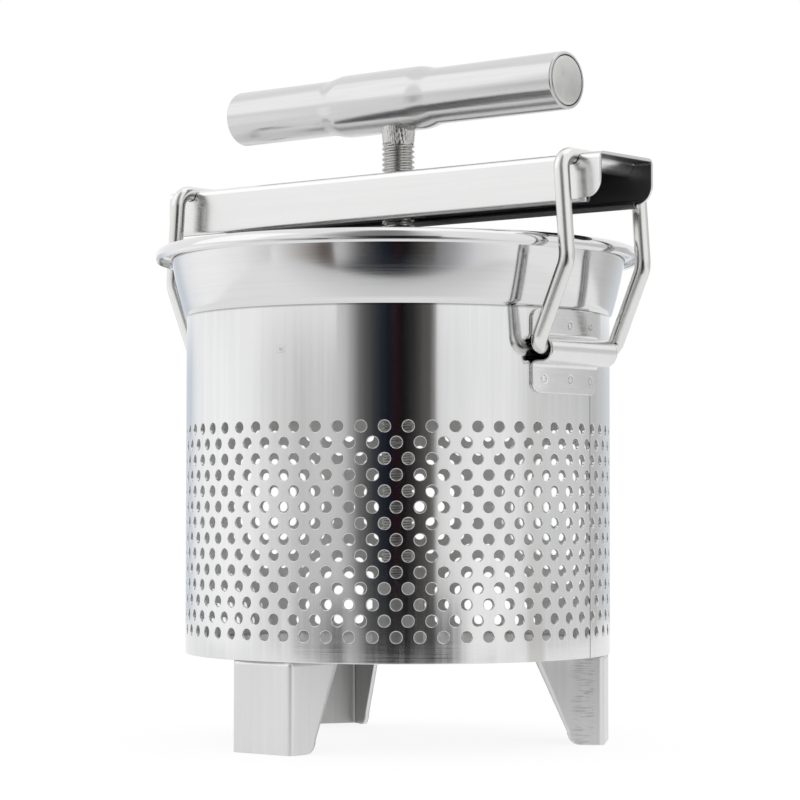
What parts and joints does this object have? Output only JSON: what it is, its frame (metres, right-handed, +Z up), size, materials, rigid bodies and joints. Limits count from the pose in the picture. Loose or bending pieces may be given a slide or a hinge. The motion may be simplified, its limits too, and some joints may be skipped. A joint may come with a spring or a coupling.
{
  "type": "manual juice press",
  "caption": "Screw press for fruit: perforated steel basket on legs with a flared rim, a channel beam held down by wire bails, and a threaded T-handle spindle that drives a press plate.",
  "frame": {"origin": "centre of the bounding box's foot, on the plane of the feet under the basket's axis", "axes": "+Z up along the screw, +X along the beam, -Y the side with the first leg"},
  "size_m": [0.2646, 0.2296, 0.3177],
  "materials": {
    "polished_sheet": "polished sheet, clear reflections",
    "satin_sheet": "satin brushed sheet",
    "inner_steel": "plain mill finish",
    "bright_wire": "bright drawn wire",
    "turned_steel": "turned thread",
    "handle_steel": "fine brushed tube"
  },
  "bodies": {
    "basket": {"basket_wall": "polished_sheet", "flared_collar": "polished_sheet", "basket_floor": "inner_steel", "leg_front": "satin_sheet", "leg_right": "satin_sheet", "leg_left": "satin_sheet", "bracket_right": "satin_sheet", "bracket_left": "satin_sheet", "crossbar": "satin_sheet", "beam_nut": "inner_steel"},
    "bail_right": {"bail_right": "bright_wire"},
    "bail_left": {"bail_left": "bright_wire"},
    "plate": {"press_plate": "inner_steel", "plate_hub": "inner_steel", "hub_pins": "inner_steel", "thrust_washer": "inner_steel"},
    "spindle": {"screw": "turned_steel", "handle_tube": "handle_steel", "handle_cap_right": "handle_steel", "handle_cap_left": "handle_steel", "handle_weld": "turned_steel"}
  },
  "joints": [
    {"name": "press_travel", "type": "slide", "parent": "basket", "child": "plate", "axis": [0, 0, 1], "range_m": [0, 0.15]},
    {"name": "screw_turn", "type": "hinge", "parent": "plate", "child": "spindle", "pos_m": [0, 0, 0.1], "axis": [0, 0, 1], "range_deg": [0, 21600]},
    {"name": "bail_right_swing", "type": "hinge", "parent": "basket", "child": "bail_right", "pos_m": [0.104, 0, 0.1805], "axis": [0, 1, 0], "range_deg": [0, 158]},
    {"name": "bail_left_swing", "type": "hinge", "parent": "basket", "child": "bail_left", "pos_m": [-0.104, 0, 0.1805], "axis": [0, -1, 0], "range_deg": [0, 158]}
  ],
  "couplings": [
    {"joint": "press_travel", "follows": "screw_turn", "m_per_rad": 0.00039789}
  ]
}
